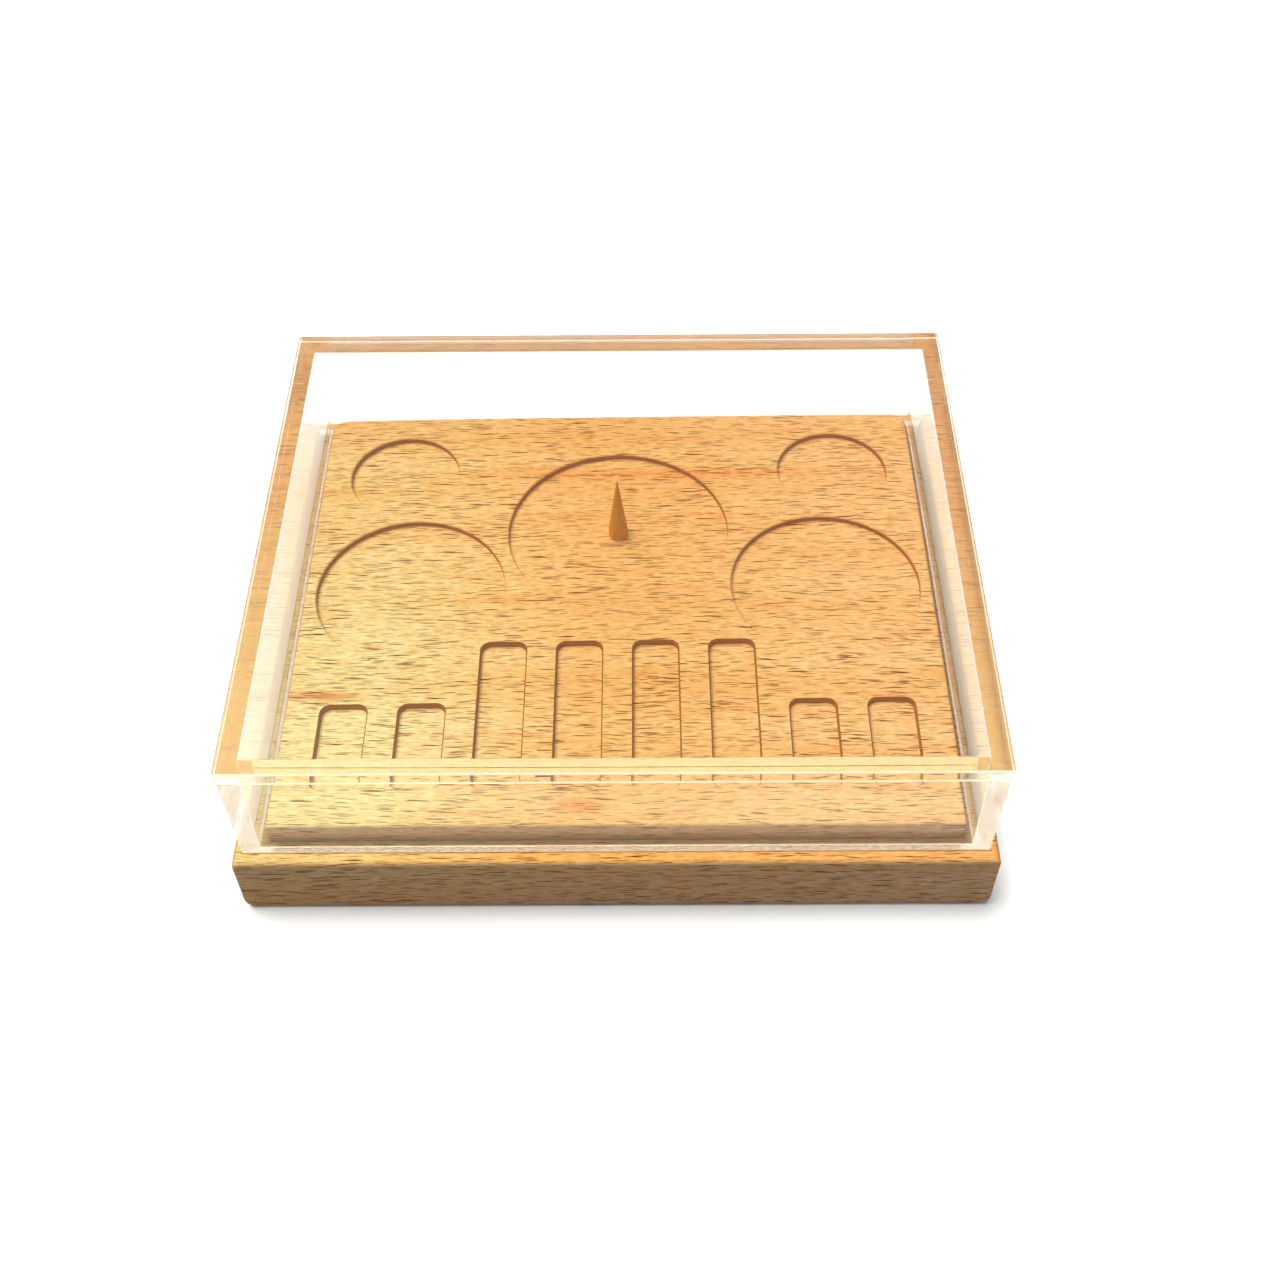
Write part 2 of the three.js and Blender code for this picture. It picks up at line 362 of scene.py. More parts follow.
# %% [markdown]
# The faces between two rings form a band, eight faces long, which starts at the back right corner
# and runs round by the back, the left, the front and the right. A face's number divided by eight
# gives its band, and the remainder its side. Band 0 is the top bevel, 1 the panel's edge, 2 the
# bevel under it, 4 the outside of the walls, 6 their foot, 7 the bevel inside the foot and 8 the
# inside of the walls. Sides 4 to 6 are the front with its two corners. So the front's bevels and
# corner cuts are made matt, its foot is left sawn, and the other feet are ground fine.

# %% Finish of each face
polished, sawn, scraped, ground = 0, 1, 2, 3
front_bevels = [(0, 4), (0, 5), (0, 6), (2, 4), (2, 5), (2, 6), (7, 5)]
front_corners = [(band, side) for band in (1, 4, 8) for side in (4, 6)]
foot_band, front_side = 6, 5
for number, face in enumerate(cover.faces):
    band, side = divmod(number, 8)
    if (band, side) in front_bevels + front_corners:
        face.material_index = scraped
    elif band == foot_band:
        face.material_index = sawn if side == front_side else ground
for edges in ends:
    for face in bmesh.ops.contextual_create(cover, geom=edges)["faces"]:
        face.material_index = polished
acrylic_cover = piece_from(
    cover, "acrylic_cover", "cover",
    ["cover_top_panel", "cover_front_wall", "cover_back_wall", "cover_left_wall", "cover_right_wall"], 10.0)

# %% [markdown]
# ## Node helpers
#
# A material is a small net of nodes. One function adds a node, sets its options, and fills its
# inputs with plain values or with links, so that a net reads like a list of sentences. Colours
# are written as the hex values of the screen and turned to the linear values that light needs.
# The coloured result of a Mix node is its third output, which is why these end in outputs[2].

# %% Add a node, turn a colour
def linear(hex_value):
    channels = [int(hex_value[i:i + 2], 16) / 255 for i in (1, 3, 5)]
    return [c / 12.92 if c <= 0.04045 else ((c + 0.055) / 1.055) ** 2.4 for c in channels] + [1.0]


def node(tree, kind, inputs=None, **settings):
    made = tree.nodes.new("ShaderNode" + kind)
    for name, value in settings.items():
        setattr(made, name, value)
    for key, value in (inputs or {}).items():
        if isinstance(value, bpy.types.Node):
            value = value.outputs[0]
        if isinstance(value, bpy.types.NodeSocket):
            tree.links.new(value, made.inputs[key])
        else:
            made.inputs[key].default_value = value
    return made


def new_material(name):
    material = bpy.data.materials.new(name)
    material.use_nodes = True
    material.node_tree.nodes.clear()
    return material, material.node_tree


print("mid grey in linear light:", round(linear("#808080")[0], 3))

# %% [markdown]
# ## Beech, planed and oiled
#
# Beech is a pale orange brown wood, known by short dark flecks: the ends of its rays, cut across
# by the plane. On this board a strong fleck is 3 to 6 mm long and 0.2 to 0.4 mm thick, and there
# is about one to every 17 square millimetres, with shorter and fainter ones between. A Voronoi
# pattern scatters points one to a cell, so a cell stretched to the length and thickness of a
# fleck gives a field of spindles, and the cell's random colour tells which ones are dark. The
# rows of cells are sheared, because flecks in columns would look printed.

# %% A field of flecks
def flecks(tree, sheet, length, thickness, share, shear):
    """Dark spindles, 1 in the middle of the strongest and 0 between them; share is their part."""
    axes = node(tree, "SeparateXYZ", {0: sheet})
    row = node(tree, "Math", {0: axes.outputs[1], 1: thickness}, operation="DIVIDE")
    column = node(tree, "Math", {0: axes.outputs[0], 1: length}, operation="DIVIDE")
    column = node(tree, "Math", {0: row, 1: shear, 2: column}, operation="MULTIPLY_ADD")
    cells = node(tree, "CombineXYZ", {0: column, 1: row})
    voronoi = node(tree, "TexVoronoi", {"Vector": cells, "Scale": 1.0, "Exponent": 1.5},
                   voronoi_dimensions="2D", distance="MINKOWSKI")
    chance = node(tree, "SeparateColor", {0: voronoi.outputs["Color"]})
    size = node(tree, "MapRange", {0: chance.outputs[1], 3: 0.28, 4: 0.52})
    core = node(tree, "Math", {0: size, 1: 0.4}, operation="MULTIPLY")
    spindle = node(tree, "MapRange", {0: voronoi.outputs["Distance"], 1: core, 2: size, 3: 1.0, 4: 0.0})
    strength = node(tree, "MapRange", {0: chance.outputs[0], 1: 1 - share, 2: 1 - share * 0.4,
                                       3: 0.4, 4: 1.0})
    shown = node(tree, "Math", {0: chance.outputs[0], 1: 1 - share}, operation="GREATER_THAN")
    strength = node(tree, "Math", {0: strength, 1: shown}, operation="MULTIPLY")
    return node(tree, "Math", {0: spindle, 1: strength}, operation="MULTIPLY")


# %% [markdown]
# Two softer patterns serve the broad marks of the wood. Noise, stretched along the grain, gives
# bands and fibres. An oval gives a single stain at a known place. Both end in a Map Range node,
# whose inputs 1 and 2 are the values where it starts and ends, and 3 and 4 what it makes of them.

# %% Noise and single stains
def noise(tree, sheet, scale, detail, low, high, least=0.0, most=1.0):
    """Noise on the sheet, with scale in waves per mm along and across, spread from least to most."""
    stretched = node(tree, "VectorMath", {0: sheet, 1: (*scale, 1.0)}, operation="MULTIPLY")
    pattern = node(tree, "TexNoise", {"Vector": stretched, "Scale": 1.0, "Detail": detail})
    return node(tree, "MapRange", {0: pattern.outputs["Fac"], 1: low, 2: high, 3: least, 4: most})


def oval(tree, sheet, x, y, half_x, half_y):
    """A soft oval on the sheet, 1 in its middle and 0 outside it."""
    off = node(tree, "VectorMath", {0: sheet, 1: (x, y, 0.0)}, operation="SUBTRACT")
    off = node(tree, "VectorMath", {0: off, 1: (1 / half_x, 1 / half_y, 0.0)}, operation="MULTIPLY")
    off = node(tree, "VectorMath", {0: off}, operation="LENGTH")
    return node(tree, "MapRange", {0: off.outputs["Value"], 1: 1.0, 2: 0.2, 3: 0.0, 4: 1.0})


# %% [markdown]
# The pattern is drawn on a flat sheet: x runs along the grain, and y + z across it. On the top
# only y changes and on the front only z, so the sheet folds over the edge without a seam. Three
# noises, slow, middling and quick, bend the sheet by at most 1.3, 0.35 and 0.05 mm, because no
# grain is quite straight.

# %% The folded sheet
planed_beech, tree = new_material("planed_oiled_beech")
where = node(tree, "TexCoord")
place = node(tree, "VectorMath", {0: where.outputs["Object"], "Scale": 1 / MM}, operation="SCALE")
axes = node(tree, "SeparateXYZ", {0: place})
across = node(tree, "Math", {0: axes.outputs[1], 1: axes.outputs[2]})
straight = node(tree, "CombineXYZ", {0: axes.outputs[0], 1: across})
bends = (((0.022, 0.03), 1.0, 1.3), ((0.08, 0.12), 2.0, 0.35), ((0.45, 0.7), 1.0, 0.05))
for scale, detail, most in bends:
    bend = noise(tree, straight, scale, detail, 0.0, 1.0, -most, most)
    across = node(tree, "Math", {0: across, 1: bend})
sheet = node(tree, "CombineXYZ", {0: axes.outputs[0], 1: across})
print("nodes for the sheet:", len(tree.nodes))

# %% [markdown]
# Under its marks the board drifts from orange at the back and the middle to straw at the left and
# the front, and it is a little rosier at the right. The straw is partly the wood's own tone and
# partly a painted highlight: the pale glare of the lamp at the front left, painted into the colour.
# On the rail in front of the cover the painted glare is taken back, so the rail is the deepest
# orange. The faces towards the front and the back are tinted greyer and bluer, a painted sheen of
# the light they mirror from the floor.

# %% The ground colour, with painted glare and sheen
# The drift to straw at the left and the front is partly painted glare of the lamp there.
to_left = node(tree, "MapRange", {0: axes.outputs[0], 1: -8.0, 2: -50.0, 3: 0.0, 4: 0.8})
to_right = node(tree, "MapRange", {0: axes.outputs[0], 1: 12.0, 2: 45.0, 3: 0.0, 4: 0.16})
to_sides = node(tree, "Math", {0: to_left, 1: to_right})
off_back = node(tree, "MapRange", {0: axes.outputs[1], 1: 55.0, 2: -20.0, 3: 0.3, 4: 1.0})
to_front = node(tree, "MapRange", {0: axes.outputs[1], 1: 30.0, 2: -50.0, 3: 0.0, 4: 0.2})
# On the rail, outside the cover, the painted glare is taken back.
on_rail = node(tree, "MapRange", {0: axes.outputs[1], 1: -deck_y, 2: -wall_y, 3: 0.0, 4: -0.35})
straw = node(tree, "Math", {0: to_sides, 1: off_back, 2: to_front}, operation="MULTIPLY_ADD")
straw = node(tree, "Math", {0: straw, 1: on_rail}, use_clamp=True)
orange, yellow = linear("#F6C67E"), linear("#F8F0B6")
colour = node(tree, "Mix", {0: straw, 6: orange, 7: yellow}, data_type="RGBA").outputs[2]
rosy = node(tree, "MapRange", {0: axes.outputs[0], 1: 5.0, 2: 45.0, 3: 0.0, 4: 0.45})
colour = node(tree, "Mix", {0: rosy, 6: colour, 7: linear("#FACE9C")}, data_type="RGBA").outputs[2]

geometry = node(tree, "NewGeometry")
facing = node(tree, "SeparateXYZ", {0: geometry.outputs["True Normal"]})
# Painted sheen: faces towards the front and the back take a greyer, bluer tint.
painted_front_sheen = node(tree, "Math", {0: facing.outputs[1]}, operation="ABSOLUTE")
painted_front_sheen = node(tree, "MapRange", {0: painted_front_sheen, 1: 0.7, 2: 0.95, 3: 0.0, 4: 0.8})
colour = node(tree, "Mix", {0: painted_front_sheen, 6: colour, 7: linear("#EFD2B8")}, data_type="RGBA").outputs[2]
print("green light from the yellow over that from the orange:", round(yellow[1] / orange[1], 2))

# %% [markdown]
# The marks are laid on as a wood finish works, as stains that darken what is under them. Soft
# growth bands come first, about 11 mm wide and 200 mm long. A few reddish streaks of heartwood
# follow, 3 by 50 mm, and a silky mottling of 0.8 by 2 mm. Real fibres are too fine to show, so
# they are drawn a third of a millimetre thick and 5 mm long. Three single stains are placed one by
# one, and the flecks come last. Each fleck has a pale brown halo, where the oil has crept out of
# it, and a dark brown core.

# %% Stains and flecks
stains = (
    (noise(tree, sheet, (0.005, 0.09), 3.0, 0.35, 0.65), "#FCEFDC"),
    (noise(tree, sheet, (0.02, 0.35), 2.0, 0.60, 0.78, 0.0, 0.8), "#FACDAE"),
    (noise(tree, sheet, (0.5, 1.2), 2.0, 0.38, 0.66), "#F6E8D2"),
    (noise(tree, sheet, (0.2, 3.0), 2.0, 0.42, 0.72), "#F0DCBC"),
    (oval(tree, sheet, -61.0, -28.0 + deck_z, 11.0, 1.6), "#E8B490"),
    (oval(tree, sheet, -7.0, -51.0 + deck_z, 7.0, 3.0), "#FAD2B0"),
    (oval(tree, sheet, 10.0, 36.0 + deck_z, 70.0, 3.0), "#FCE2C4"),
)
strong = flecks(tree, sheet, length=6.2, thickness=0.38, share=0.14, shear=0.37)
medium = flecks(tree, sheet, length=4.6, thickness=0.34, share=0.17, shear=-0.61)
fine = flecks(tree, sheet, length=3.2, thickness=0.28, share=0.20, shear=0.43)
marks = list(stains)
for field, depth in ((fine, 0.55), (medium, 0.85), (strong, 1.0)):
    marks.append((node(tree, "MapRange", {0: field, 1: 0.0, 2: 0.4, 3: 0.0, 4: depth}), "#F6DCA0"))
    marks.append((node(tree, "MapRange", {0: field, 1: 0.15, 2: 0.6, 3: 0.0, 4: depth}), "#744814"))
for share, stain in marks:
    colour = node(tree, "Mix", {0: share, 6: colour, 7: linear(stain)},
                  data_type="RGBA", blend_type="MULTIPLY").outputs[2]
print("marks laid on:", len(marks))

# %% [markdown]
# The two ends of the board cut the fibres across, drink more oil and are darker. They show growth
# rings in place of flecks: arcs about a pith that lies 60 mm under the board and 25 mm off its
# middle, 2.4 mm apart, each with a darker late part. Beech has pores of less than a tenth of a
# millimetre, which wouldn't show, so they are drawn about half a millimetre wide.

# %% End grain
off_pith, ring_gap, pores_per_mm = (0.0, 25.0, 60.0), 2.4, 2.2
growth = node(tree, "VectorMath", {0: place, 1: off_pith})
growth = node(tree, "VectorMath", {0: growth, 1: (0.0, 1.0, 1.0)}, operation="MULTIPLY")
growth = node(tree, "VectorMath", {0: growth}, operation="LENGTH")
growth = node(tree, "Math", {0: growth.outputs["Value"], 1: ring_gap}, operation="DIVIDE")
growth = node(tree, "Math", {0: growth}, operation="FRACT")
late = node(tree, "MapRange", {0: growth, 1: 0.55, 2: 0.95, 3: 0.0, 4: 0.5},
            interpolation_type="SMOOTHSTEP")
pores = node(tree, "TexNoise", {"Vector": place, "Scale": pores_per_mm, "Detail": 3.0})
pores = node(tree, "MapRange", {0: pores.outputs["Fac"], 1: 0.4, 2: 0.7, 3: 0.0, 4: 0.4})
end_grain = linear("#D79A55")
for share, stain in ((late, "#B87A3C"), (pores, "#8A5226")):
    end_grain = node(tree, "Mix", {0: share, 6: end_grain, 7: linear(stain)}, data_type="RGBA").outputs[2]
on_end = node(tree, "Math", {0: facing.outputs[0]}, operation="ABSOLUTE")
on_end = node(tree, "MapRange", {0: on_end, 1: 0.6, 2: 0.9})
colour = node(tree, "Mix", {0: on_end, 6: colour, 7: end_grain}, data_type="RGBA").outputs[2]
print("nodes with the end grain:", len(tree.nodes))

# %% [markdown]
# The walls of the recesses are coloured dark brown, and at the slots their broken arris is too. The
# brown is partly what a router leaves where it cuts slowly, and partly painted shade, the shade that
# falls in a recess. A wall is found by its slope: on the deck the normal's z is 1, on an arris 0.7
# and on a wall 0. Behind the slots only the walls count, so there the slope is taken as it is. At
# the slots it counts as 0.35 less, so that the arris passes for a wall and takes the painted shade
# too. The four long slots lie within 30 mm of the middle, and the short ones beside them end 16 mm
# further forward.

# %% Walls with router singe and painted shade
half_sizes = node(tree, "VectorMath", {0: place}, operation="ABSOLUTE")
half_sizes = node(tree, "SeparateXYZ", {0: half_sizes})
deck_edge, long_ones, short_end, leaning = 1.0, 30.0, slot_front + short_slot + 0.4, -0.35
in_x = node(tree, "Math", {0: half_sizes.outputs[0], 1: deck_x - deck_edge}, operation="LESS_THAN")
in_y = node(tree, "Math", {0: half_sizes.outputs[1], 1: deck_y - deck_edge}, operation="LESS_THAN")
slots_end = node(tree, "Math", {0: half_sizes.outputs[0], 1: long_ones}, operation="LESS_THAN")
slots_end = node(tree, "Math", {0: slots_end, 1: long_slot - short_slot, 2: short_end},
                 operation="MULTIPLY_ADD")
at_slots = node(tree, "Math", {0: axes.outputs[1], 1: slots_end}, operation="LESS_THAN")
tilt = node(tree, "Math", {0: at_slots, 1: leaning, 2: facing.outputs[2]}, operation="MULTIPLY_ADD")
# Walls, and the arris at the slots, are darkened by router singe and painted shade together.
singe_and_shade_share = node(tree, "MapRange", {0: tilt, 1: 0.6, 2: 0.38, 3: 0.0, 4: 1.0})
for part in (in_x, in_y):
    singe_and_shade_share = node(tree, "Math", {0: singe_and_shade_share, 1: part}, operation="MULTIPLY")
singe_and_shade_colour = node(tree, "MapRange", {0: facing.outputs[2], 1: 0.3, 2: 0.7, 3: 0.0, 4: 1.0})
singe_and_shade_colour = node(tree, "Mix", {0: singe_and_shade_colour, 6: linear("#BE7614"), 7: linear("#986412")}, data_type="RGBA")
colour = node(tree, "Mix", {0: singe_and_shade_share, 6: colour, 7: singe_and_shade_colour.outputs[2]}, data_type="RGBA").outputs[2]
print("slots end at:", round(slot_front + short_slot, 2), round(slot_front + long_slot, 2))

# %% [markdown]
# Shade falls into the corner where the deck rises from the rebate, and it is painted there as a
# dark tint. Both faces of that corner are tinted by their distance from it, and the tint fades out
# over 3.6 mm.

# %% Painted shade in the corner of the rebate
off_x = node(tree, "Math", {0: half_sizes.outputs[0], 1: deck_x}, operation="SUBTRACT")
off_y = node(tree, "Math", {0: half_sizes.outputs[1], 1: deck_y}, operation="SUBTRACT")
off_deck = node(tree, "Math", {0: off_x, 1: off_y}, operation="MAXIMUM")
off_deck = node(tree, "Math", {0: off_deck}, operation="ABSOLUTE")
height = node(tree, "Math", {0: axes.outputs[2], 1: rebate_z}, operation="SUBTRACT")
off_corner = node(tree, "Math", {0: off_deck, 1: height})
# Painted shade: the corner darkens towards the foot of the deck.
painted_corner_shade = node(tree, "MapRange", {0: off_corner, 1: 0.3, 2: 3.6, 3: 0.75, 4: 0.0})
within = node(tree, "Math", {0: off_deck, 1: inner_x - deck_x}, operation="LESS_THAN")
above = node(tree, "Math", {0: height, 1: -0.01}, operation="GREATER_THAN")
for part in (within, above):
    painted_corner_shade = node(tree, "Math", {0: painted_corner_shade, 1: part}, operation="MULTIPLY")
colour = node(tree, "Mix", {0: painted_corner_shade, 6: colour, 7: linear("#5A2C0C")}, data_type="RGBA").outputs[2]
print("rebate inside the cover in mm:", round(inner_x - deck_x, 2))

# %% [markdown]
# The walls of the cover stand on a ring of the rebate. Towards the front the ring is painted
# lighter, a painted highlight for the light band that shows there through the walls, and at the back
# it is painted bluer and darker, as painted shade under the walls' foot. A dark line of painted
# shadow, a sixth of a millimetre to each side of its middle, follows the foot of the walls on the
# outside.

# %% The ring under the walls
past_x = node(tree, "Math", {0: half_sizes.outputs[0], 1: inner_x}, operation="GREATER_THAN")
past_y = node(tree, "Math", {0: half_sizes.outputs[1], 1: inner_y}, operation="GREATER_THAN")
within_x = node(tree, "Math", {0: half_sizes.outputs[0], 1: wall_x}, operation="LESS_THAN")
within_y = node(tree, "Math", {0: half_sizes.outputs[1], 1: wall_y}, operation="LESS_THAN")
ring = node(tree, "Math", {0: past_x, 1: past_y}, operation="MAXIMUM")
flat = node(tree, "MapRange", {0: facing.outputs[2], 1: 0.9, 2: 0.99, 3: 0.0, 4: 1.0})
for part in (within_x, within_y, flat):
    ring = node(tree, "Math", {0: ring, 1: part}, operation="MULTIPLY")
# Painted highlight: the ring is lighter towards the front.
painted_light_at_front = node(tree, "MapRange", {0: axes.outputs[1], 1: 20.0, 2: -inner_y, 3: 0.0, 4: 0.8})
painted_light_at_front = node(tree, "Math", {0: ring, 1: painted_light_at_front}, operation="MULTIPLY")
colour = node(tree, "Mix", {0: painted_light_at_front, 6: colour, 7: linear("#FFE6A0")}, data_type="RGBA").outputs[2]
# Painted shade: the ring is bluer and darker towards the back.
painted_shade_at_back = node(tree, "MapRange", {0: axes.outputs[1], 1: 45.0, 2: inner_y, 3: 0.0, 4: 1.0})
painted_shade_at_back = node(tree, "Math", {0: ring, 1: painted_shade_at_back}, operation="MULTIPLY")
colour = node(tree, "Mix", {0: painted_shade_at_back, 6: colour, 7: linear("#E6EBF5")},
              data_type="RGBA", blend_type="MULTIPLY").outputs[2]

# Painted shadow: a thin dark line along the outer foot of the walls.
off_wall_x = node(tree, "Math", {0: half_sizes.outputs[0], 1: wall_x}, operation="SUBTRACT")
off_wall_y = node(tree, "Math", {0: half_sizes.outputs[1], 1: wall_y}, operation="SUBTRACT")
off_wall = node(tree, "Math", {0: off_wall_x, 1: off_wall_y}, operation="MAXIMUM")
painted_foot_shadow = node(tree, "Math", {0: off_wall, 1: 0.08, 2: 0.16}, operation="COMPARE")
for part in (flat, 0.6):
    painted_foot_shadow = node(tree, "Math", {0: painted_foot_shadow, 1: part}, operation="MULTIPLY")
colour = node(tree, "Mix", {0: painted_foot_shadow, 6: colour, 7: linear("#6A4020")}, data_type="RGBA").outputs[2]
print("nodes with the ring:", len(tree.nodes))

# %% [markdown]
# The finish is a thin coat of oil, so the wood is dull: a roughness of 0.5 and hardly any gloss.
# The flecks lie about a hundredth of a millimetre low, as the plane and the oil leave them.

# %% Finish of the board
relief = node(tree, "Math", {0: strong, 1: medium}, operation="ADD")
bump = node(tree, "Bump", {"Strength": 0.3, "Distance": 0.03 * MM, "Height": relief}, invert=True)
surface = node(tree, "BsdfPrincipled", {
    "Base Color": colour, "Roughness": 0.5, "IOR": 1.5, "Specular IOR Level": 0.05, "Normal": bump})
node(tree, "OutputMaterial", {"Surface": surface})
beech_board.data.materials.append(planed_beech)
print("board material:", planed_beech.name, "nodes:", len(tree.nodes))

# %% [markdown]
# ## Turned beech
#
# The post is beech too, but its grain runs up its axis and it has taken more oil, which makes
# it amber brown. A lathe leaves it smooth, with faint rings that are too fine to see from here.
# The fibres would be too fine as well, and are drawn a third of a millimetre thick and 8 mm long.

# %% Material of the post
turned, tree = new_material("turned_oiled_beech")
fibres_per_mm = (3.0, 3.0, 0.12)
where = node(tree, "TexCoord")
place = node(tree, "VectorMath", {0: where.outputs["Object"], "Scale": 1 / MM}, operation="SCALE")
fibre = node(tree, "VectorMath", {0: place, 1: fibres_per_mm}, operation="MULTIPLY")
fibre = node(tree, "TexNoise", {"Vector": fibre, "Scale": 1.0, "Detail": 3.0})
share = node(tree, "MapRange", {0: fibre.outputs["Fac"], 1: 0.35, 2: 0.65})
colour = node(tree, "Mix", {0: share, 6: linear("#F4AE10"), 7: linear("#E29608")}, data_type="RGBA")
bump = node(tree, "Bump", {"Strength": 0.2, "Distance": 0.02 * MM, "Height": fibre.outputs["Fac"]})
surface = node(tree, "BsdfPrincipled", {
    "Base Color": colour.outputs[2], "Roughness": 0.4, "IOR": 1.5, "Specular IOR Level": 0.05,
    "Normal": bump})
node(tree, "OutputMaterial", {"Surface": surface})
turned_post.data.materials.append(turned)
print("post material:", turned.name, "nodes:", len(tree.nodes))

# %% [markdown]
# ## Clear acrylic
#
# Acrylic bends light a little less than window glass, with an IOR of 1.49, and its polished
# faces are as smooth as glass. Cycles is slow to bring lamp light through glass onto what is
# under it, so the usual way is taken: rays that gather light pass straight through, and only
# rays that look at the cover see it bend and mirror.
#
# A scraper leaves the broken edges matt, and a matt edge scatters light and looks pale. The foot
# of the front wall is left as the saw cut it, with ridges 0.4 mm wide that run along the wall. Their
# bright and dark streaks are painted glints: the glow is brighter or fainter along them by a noise.
# The other feet are ground fine and are coloured brown, a painted reflection of the wood seen
# through them. Light that has been piped to a matt face from all over the sheet is painted on as a
# weak glow.

# %% Materials of the cover
def acrylic(name, roughness, haze=0.0, glow=0.0, ridges=0.0, colour="#FFFFFF"):
    """haze is the share of light that a matt surface scatters, glow is painted light for that piped to it.
    """
    material, tree = new_material(name)
    inputs = {"Base Color": linear(colour), "Transmission Weight": 1.0 - haze, "IOR": 1.49,
              "Roughness": roughness, "Emission Color": linear("#FFEFC4"), "Emission Strength": glow}
    if ridges:
        where = node(tree, "TexCoord")
        place = node(tree, "VectorMath", {0: where.outputs["Object"], "Scale": 1 / MM}, operation="SCALE")
        place = node(tree, "VectorMath", {0: place, 1: (0.3, 1.0, 1.0)}, operation="MULTIPLY")
        saw = node(tree, "TexNoise", {"Vector": place, "Scale": ridges, "Detail": 3.0})
        # Painted glints: the saw ridges glow brighter or fainter by a noise.
        painted_glints = node(tree, "MapRange", {0: saw.outputs["Fac"], 1: 0.45, 2: 0.62, 3: 0.0, 4: 1.0})
        painted_glints = node(tree, "Mix", {0: painted_glints, 6: linear("#382418"), 7: linear("#FFF0D0")},
                       data_type="RGBA")
        inputs["Emission Color"] = painted_glints.outputs[2]
        inputs["Normal"] = node(tree, "Bump", {"Strength": 0.5, "Distance": 0.1 * MM,
                                               "Height": saw.outputs["Fac"]})
    solid = node(tree, "BsdfPrincipled", inputs)
    clear = node(tree, "BsdfTransparent")
    path = node(tree, "LightPath")
    gathers = node(tree, "Math", {0: path.outputs["Is Shadow Ray"], 1: path.outputs["Is Diffuse Ray"]},
                   operation="MAXIMUM")
    surface = node(tree, "MixShader", {0: gathers, 1: solid, 2: clear})
    node(tree, "OutputMaterial", {"Surface": surface})
    return material


finishes = (
    acrylic("polished_clear_acrylic", 0.0),
    acrylic("sawn_clear_acrylic", 0.12, haze=0.1, glow=0.17, ridges=2.6, colour="#FAEEDE"),
    acrylic("scraped_clear_acrylic", 0.3, haze=0.4, glow=0.5),
    # The brown of the ground feet is a painted reflection of the wood under them.
    acrylic("ground_clear_acrylic", 0.06, haze=0.2, colour="#E4C09A"),
)
for material in finishes:
    acrylic_cover.data.materials.append(material)
print("finishes of the cover:", [material.name for material in finishes])

# %% [markdown]
# ## Light
#
# The box stands under one large soft light, high up and a little to the left and the back, with a
# weak even light from all sides. The light is a soft-edged patch in the sky of the world. It is
# bright enough that a flat colour that faces up renders as it is written. Rays that look see plain
# white in place of the studio, a little warmer through the acrylic. Rays that are mirrored see the
# studio at a third of its strength, because the real box was lit by a wider and weaker lamp than
# this patch, which leaves no glare on the sheet.

# %% The world
world = bpy.data.worlds.new("soft_studio")
bpy.context.scene.world = world
world.use_nodes = True
tree = world.node_tree
tree.nodes.clear()
fill_strength, key_strength, key_edge = 0.25, 7.45, 0.86
key_direction = Vector((-0.26, 0.17, 0.95)).normalized()
fill_colour = [fill_strength] * 3 + [1.0]
key_colour = [key_strength, key_strength * 0.97, key_strength * 0.86, 1.0]
where = node(tree, "TexCoord")
towards_key = node(tree, "VectorMath", {0: where.outputs["Generated"], 1: key_direction},
                   operation="DOT_PRODUCT")
patch = node(tree, "MapRange", {0: towards_key.outputs["Value"], 1: key_edge, 2: 1.0},
             interpolation_type="SMOOTHSTEP")
light = node(tree, "Mix", {0: patch, 6: fill_colour, 7: key_colour}, data_type="RGBA")
path = node(tree, "LightPath")
mirrored = node(tree, "MapRange", {0: path.outputs["Is Glossy Ray"], 1: 0.0, 2: 1.0, 3: 1.0, 4: 0.3})
lighting = node(tree, "Background", {"Color": light.outputs[2], "Strength": mirrored})
backdrop = node(tree, "Mix", {0: path.outputs["Is Camera Ray"], 6: linear("#FFF6E8"), 7: linear("#FFFFFF")},
                data_type="RGBA")
white = node(tree, "Background", {"Color": backdrop.outputs[2], "Strength": 1.0})
looks = node(tree, "Math", {0: path.outputs["Is Camera Ray"], 1: path.outputs["Is Transmission Ray"]},
             operation="MAXIMUM")
surface = node(tree, "MixShader", {0: looks, 1: lighting, 2: white})
node(tree, "OutputWorld", {"Surface": surface})
print("key light from:", [round(v, 2) for v in key_direction])

# %% [markdown]
# ## Floor
#
# The floor is white paper. It scatters only part of the light, so that it doesn't light the box
# from below. For the rays that look it has a brighter colour, which makes the background white
# and keeps the shadow. Acrylic shows it too. What it shows of the paper beside the board is
# warmer, because the wood colours the light that the sheet brings down, and this fades from 5 to
# 30 mm off the sides and over 15 mm behind the back.

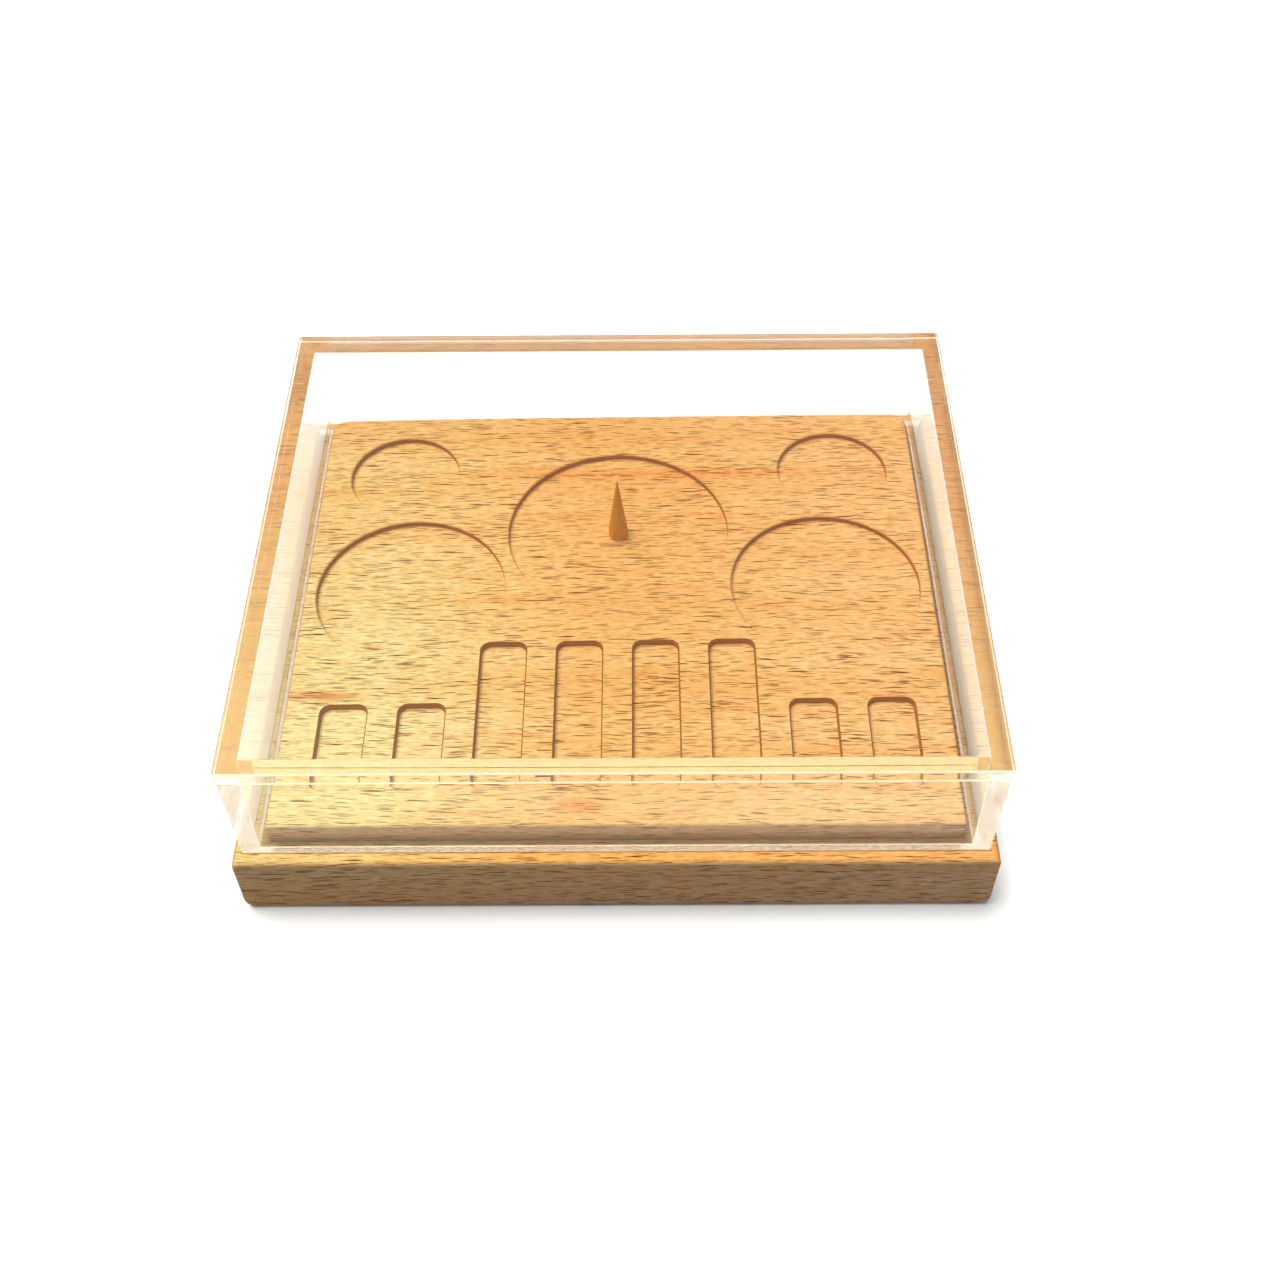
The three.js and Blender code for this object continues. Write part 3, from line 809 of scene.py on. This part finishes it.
# %% The floor
paper_for_light = [0.28, 0.28, 0.28, 1.0]
paper_for_eyes = [1.23, 1.29, 1.39, 1.0]
paper_in_acrylic = [1.12, 1.12, 1.14, 1.0]
paper_by_the_wood = [1.02, 0.93, 0.77, 1.0]
half_side = 3.0
corners = [(x * half_side, y * half_side, 0) for x, y in ((-1, -1), (1, -1), (1, 1), (-1, 1))]
floor_data = bpy.data.meshes.new("floor")
floor_data.from_pydata(corners, [], [(0, 1, 2, 3)])
floor = bpy.data.objects.new("floor", floor_data)
bpy.context.collection.objects.link(floor)
paper, tree = new_material("white_paper")
path = node(tree, "LightPath")
in_acrylic = node(tree, "Math", {0: path.outputs["Is Glossy Ray"], 1: path.outputs["Is Transmission Ray"]},
                  operation="MAXIMUM")
where = node(tree, "TexCoord")
axes = node(tree, "SeparateXYZ", {0: where.outputs["Object"]})
off_middle = node(tree, "Math", {0: axes.outputs[0]}, operation="ABSOLUTE")
warm, white_again, behind = 5.0, 30.0, 15.0
near_sides = node(tree, "MapRange", {0: off_middle, 1: (board_x + warm) * MM,
                                     2: (board_x + white_again) * MM, 3: 1.0, 4: 0.0})
beside = node(tree, "MapRange", {0: axes.outputs[1], 1: board_y * MM, 2: (board_y + behind) * MM,
                                 3: 1.0, 4: 0.0})
near_sides = node(tree, "Math", {0: near_sides, 1: beside}, operation="MULTIPLY")
seen_through = node(tree, "Mix", {0: near_sides, 6: paper_in_acrylic, 7: paper_by_the_wood},
                    data_type="RGBA")
colour = node(tree, "Mix", {0: in_acrylic, 6: paper_for_light, 7: seen_through.outputs[2]},
              data_type="RGBA")
colour = node(tree, "Mix", {0: path.outputs["Is Camera Ray"], 6: colour.outputs[2], 7: paper_for_eyes},
              data_type="RGBA")
surface = node(tree, "BsdfDiffuse", {"Color": colour.outputs[2]})
node(tree, "OutputMaterial", {"Surface": surface})
floor_data.materials.append(paper)
print("floor side in m:", 2 * half_side)

# %% [markdown]
# ## How far a ray may go
#
# Light that enters the edge of a sheet can be mirrored inside it dozens of times before it leaves,
# and each turn inside the acrylic counts as a glossy bounce. With the usual limits those paths end
# black and leave dark bars in the corners of the cover, so the limits are raised here.

# %% Ray limits and the view
scene = bpy.context.scene
longest_path = 96
scene.cycles.max_bounces = longest_path
scene.cycles.glossy_bounces = longest_path
scene.cycles.transmission_bounces = longest_path
scene.cycles.transparent_max_bounces = 16
scene.view_settings.view_transform = "Standard"
print("bounces:", scene.cycles.max_bounces, "view:", scene.view_settings.view_transform)
